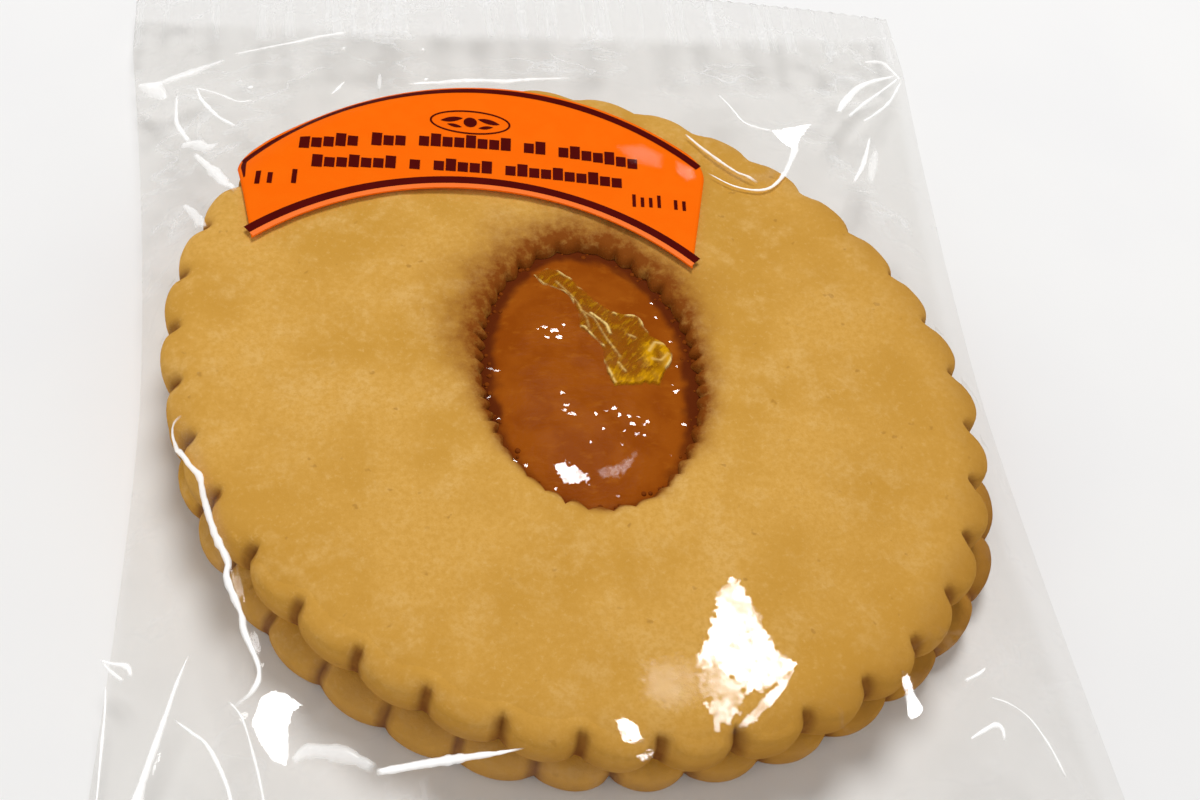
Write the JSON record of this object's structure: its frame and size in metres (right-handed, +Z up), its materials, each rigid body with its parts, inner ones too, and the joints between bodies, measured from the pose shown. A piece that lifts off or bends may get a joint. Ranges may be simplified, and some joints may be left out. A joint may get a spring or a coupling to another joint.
{
  "type": "packed shortbread sandwich biscuit",
  "caption": "Fluted shortbread sandwich with a jam-filled oval window, sealed in a clear film bag with crimped ends and a curved label on top.",
  "frame": {"origin": "middle of the bag's outline, on the plane the pack lies on", "axes": "+Z up through the biscuit; the bag's length between its sealed ends runs along Y, with the label towards +Y, and its width along X"},
  "size_m": [0.1166, 0.154, 0.0154],
  "materials": {
    "clear_film": "thin clear glossy film over a pale baked biscuit",
    "label_film": "smooth coated orange label with dark red stripes"
  },
  "bodies": {
    "root": {"bag": "clear_film", "label": "label_film"}
  },
  "joints": []
}
